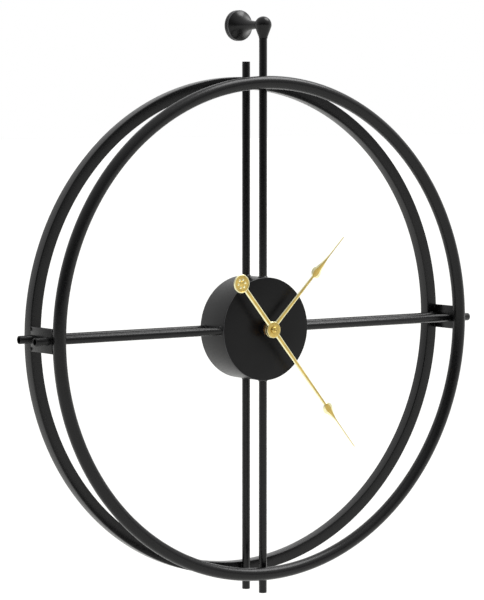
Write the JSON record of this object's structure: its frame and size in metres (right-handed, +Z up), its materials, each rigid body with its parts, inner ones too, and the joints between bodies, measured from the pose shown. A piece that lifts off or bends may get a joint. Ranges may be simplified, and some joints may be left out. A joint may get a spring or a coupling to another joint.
{
  "type": "open frame wall clock",
  "caption": "Open-frame wall clock: two steel rings on crossed rods, central drum with battery movement, spade hands, hung from a stand-off wall flange.",
  "frame": {"origin": "centre of the wall flange's back face, on the wall plane", "axes": "+Y into the wall, +Z up, +X to the viewer's right; the clock faces -Y"},
  "size_m": [0.554, 0.0685, 0.6075],
  "materials": {
    "black_powder_coat": "satin black powder coat",
    "black_oxide_steel": "black oxide, slightly oily",
    "black_rubber": "matt rubber",
    "movement_plastic": "fine-textured black moulding",
    "black_threaded_plastic": "moulded thread",
    "gilt_brass": "satin gilt plating",
    "turned_brass": "turned brass",
    "white_acetal": "natural acetal",
    "copper_winding": "enamelled copper wire",
    "soft_iron": "stamped soft iron",
    "green_board": "solder mask",
    "black_resin": "cured resin",
    "plated_steel": "nickel plated",
    "sintered_magnet": "sintered ferrite",
    "battery_jacket": "plain shrink sleeve"
  },
  "bodies": {
    "wall_mount": {"wall_flange": "black_powder_coat"},
    "minute_arbor": {"minute_cannon": "turned_brass", "centre_wheel": "white_acetal", "minute_hand": "gilt_brass", "hand_cap_nut": "gilt_brass"},
    "hour_arbor": {"hour_wheel": "white_acetal", "hour_hand": "gilt_brass"},
    "transfer_arbor": {"transfer_wheel": "white_acetal"},
    "third_arbor": {"third_wheel": "white_acetal"},
    "seconds_arbor": {"seconds_wheel": "white_acetal"},
    "first_arbor": {"first_wheel": "white_acetal"},
    "rotor": {"rotor_pinion": "white_acetal", "rotor_magnet": "sintered_magnet"},
    "knob": {"setting_knob": "movement_plastic"},
    "battery": {"battery_cell": "battery_jacket"},
    "frame": {"hanger_ball": "black_powder_coat", "rear_ring": "black_powder_coat", "front_ring": "black_powder_coat", "side_plate_left": "black_powder_coat", "side_plate_right": "black_powder_coat", "drum_band": "black_powder_coat", "drum_face": "black_powder_coat", "rear_rod_top": "black_powder_coat", "rear_rod_bottom": "black_powder_coat", "rear_rod_left": "black_powder_coat", "rear_rod_right": "black_powder_coat", "front_rod_top": "black_powder_coat", "front_rod_bottom": "black_powder_coat", "front_rod_left": "black_powder_coat", "front_rod_right": "black_powder_coat", "hanger_grub_screw": "black_oxide_steel", "dial_washer": "black_oxide_steel", "dial_nut": "black_oxide_steel", "rubber_gasket": "black_rubber", "movement_front": "movement_plastic", "movement_rear": "movement_plastic", "centre_bushing": "black_threaded_plastic", "coil_winding": "copper_winding", "coil_core": "soft_iron", "stator": "soft_iron", "circuit_board": "green_board", "chip_blob": "black_resin", "quartz_crystal": "plated_steel", "contact_positive": "plated_steel", "contact_negative": "plated_steel"}
  },
  "joints": [
    {"name": "frame_swing", "type": "hinge", "parent": "wall_mount", "child": "frame", "pos_m": [0, -0.047, 0], "axis": [0, 1, 0], "range_deg": [-20, 20]},
    {"name": "minute_turn", "type": "hinge", "parent": "frame", "child": "minute_arbor", "pos_m": [0, -0.0678, -0.3145], "axis": [0, 1, 0], "continuous": true},
    {"name": "hour_turn", "type": "hinge", "parent": "frame", "child": "hour_arbor", "pos_m": [0, -0.0648, -0.3145], "axis": [0, 1, 0], "continuous": true},
    {"name": "transfer_turn", "type": "hinge", "parent": "frame", "child": "transfer_arbor", "pos_m": [-0.012, -0.0457, -0.3145], "axis": [0, 1, 0], "continuous": true},
    {"name": "third_turn", "type": "hinge", "parent": "frame", "child": "third_arbor", "pos_m": [0.01224, -0.0421, -0.3145], "axis": [0, 1, 0], "continuous": true},
    {"name": "seconds_turn", "type": "hinge", "parent": "frame", "child": "seconds_arbor", "pos_m": [0, -0.0401, -0.3145], "axis": [0, 1, 0], "continuous": true},
    {"name": "first_turn", "type": "hinge", "parent": "frame", "child": "first_arbor", "pos_m": [-0.00831, -0.0381, -0.3097], "axis": [0, 1, 0], "continuous": true},
    {"name": "rotor_turn", "type": "hinge", "parent": "frame", "child": "rotor", "pos_m": [-0.00544, -0.0405, -0.30181], "axis": [0, 1, 0], "continuous": true},
    {"name": "knob_turn", "type": "hinge", "parent": "frame", "child": "knob", "pos_m": [-0.018, -0.0317, -0.30411], "axis": [0, 1, 0], "continuous": true},
    {"name": "battery_slide", "type": "slide", "parent": "frame", "child": "battery", "axis": [0, 1, 0], "range_m": [0, 0.045]}
  ],
  "couplings": [
    {"joint": "hour_turn", "follows": "minute_turn", "ratio": 0.083333},
    {"joint": "transfer_turn", "follows": "minute_turn", "ratio": -0.33333},
    {"joint": "third_turn", "follows": "minute_turn", "ratio": -8},
    {"joint": "seconds_turn", "follows": "minute_turn", "ratio": 60},
    {"joint": "first_turn", "follows": "minute_turn", "ratio": -300},
    {"joint": "rotor_turn", "follows": "minute_turn", "ratio": 1800},
    {"joint": "knob_turn", "follows": "minute_turn", "ratio": 1}
  ]
}
